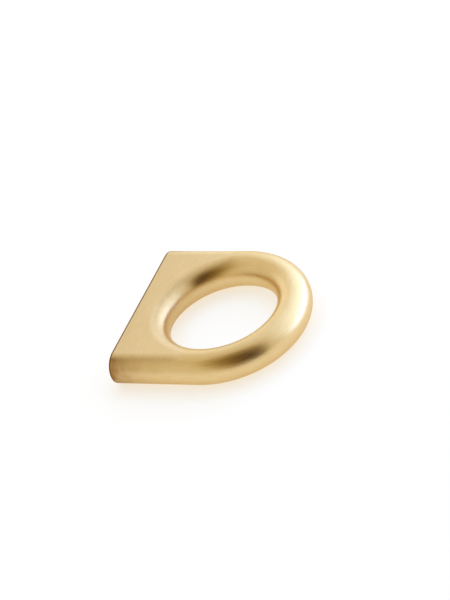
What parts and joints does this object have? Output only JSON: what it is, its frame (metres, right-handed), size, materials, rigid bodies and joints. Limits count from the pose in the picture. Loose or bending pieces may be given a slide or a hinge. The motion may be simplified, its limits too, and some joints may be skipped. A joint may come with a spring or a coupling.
{
  "type": "cabinet handle",
  "caption": "D-shaped cabinet handle in one piece of brushed brass: a flat back with threaded screw holes and a ring of round bar about a round finger opening.",
  "frame": {"origin": "middle of the flat back, half way between the screw holes", "axes": "+Y out of the flat back towards the cabinet front, so the ring stands out along -Y; +X along the back; +Z through the thickness"},
  "size_m": [0.052, 0.0518, 0.01],
  "materials": {
    "brushed_brass": "satin brushed: straight strokes across the flat faces, strokes that follow the outline on the rounded edges"
  },
  "bodies": {
    "root": {"handle": "brushed_brass"}
  },
  "joints": []
}
